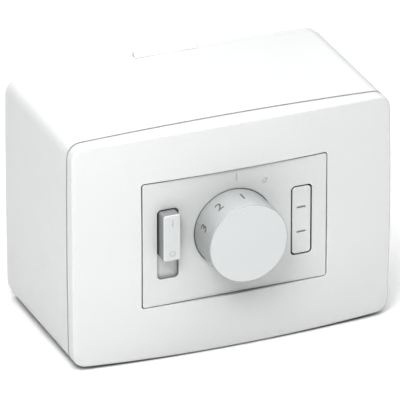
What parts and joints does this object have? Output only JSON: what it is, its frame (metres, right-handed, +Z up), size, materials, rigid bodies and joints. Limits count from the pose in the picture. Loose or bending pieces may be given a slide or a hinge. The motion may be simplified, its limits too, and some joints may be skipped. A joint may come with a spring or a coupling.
{
  "type": "fan speed controller",
  "caption": "Surface-mounted fan speed controller: a deep wall box with a bowed cover plate, a rotary speed knob, an on/off slide switch and a blanked opening.",
  "frame": {"origin": "middle of the rear face, where the part meets the wall", "axes": "+X to the right as seen from the room, +Y into the wall, +Z up"},
  "size_m": [0.117, 0.0773, 0.0852],
  "materials": {
    "housing_plastic": "white moulded ABS, fine satin texture",
    "cover_plastic": "white moulded ABS, smooth satin",
    "insert_plastic": "white moulded ABS, satin",
    "knob_plastic": "white moulded ABS, satin",
    "frame_plastic": "pale grey moulded polycarbonate",
    "switch_plastic": "black phenolic moulding",
    "bobbin_plastic": "natural glass-filled nylon",
    "terminal_plastic": "natural polyamide",
    "grommet_rubber": "soft grey rubber",
    "plated_steel": "zinc-plated steel",
    "spring_steel": "bright spring steel",
    "core_steel": "varnished laminated steel",
    "contact_brass": "plain brass",
    "winding_wire": "enamelled copper wire",
    "fuse_glass": "clear glass tube",
    "lead_red": "red wire insulation",
    "lead_blue": "blue wire insulation"
  },
  "bodies": {
    "case": {"blanking_cap": "insert_plastic", "cable_grommet": "grommet_rubber", "control_insert": "insert_plastic", "cover_plate": "cover_plastic", "detent_spring": "spring_steel", "frame_screws": "plated_steel", "fuse": "fuse_glass", "fuse_clips": "contact_brass", "fuse_holder": "switch_plastic", "housing": "housing_plastic", "housing_screws": "plated_steel", "rotary_switch_body": "switch_plastic", "rotary_switch_lid": "switch_plastic", "rotary_switch_terminals": "contact_brass", "slide_switch_body": "switch_plastic", "slide_switch_terminals": "contact_brass", "supply_leads": "lead_blue", "support_frame": "frame_plastic", "switch_nut": "plated_steel", "switch_washer": "plated_steel", "tap_leads": "lead_red", "terminal_block": "terminal_plastic", "terminal_screws": "plated_steel", "transformer_bobbin": "bobbin_plastic", "transformer_clamp": "plated_steel", "transformer_core": "core_steel", "transformer_screws": "plated_steel", "transformer_winding": "winding_wire", "wall_plate": "housing_plastic"},
    "knob": {"speed_knob": "knob_plastic", "knob_spring": "spring_steel", "switch_shaft": "plated_steel", "switch_rotor": "switch_plastic", "rotor_contact": "contact_brass"},
    "button": {"slide_button": "knob_plastic", "slide_contact": "contact_brass"}
  },
  "joints": [
    {"name": "knob_turn", "type": "hinge", "parent": "case", "child": "knob", "pos_m": [-0.0005, -0.0638, 0.0027], "axis": [0, 1, 0], "range_deg": [0, 72]},
    {"name": "switch_slide", "type": "slide", "parent": "case", "child": "button", "axis": [0, 0, -1], "range_m": [0, 0.0083]}
  ]
}
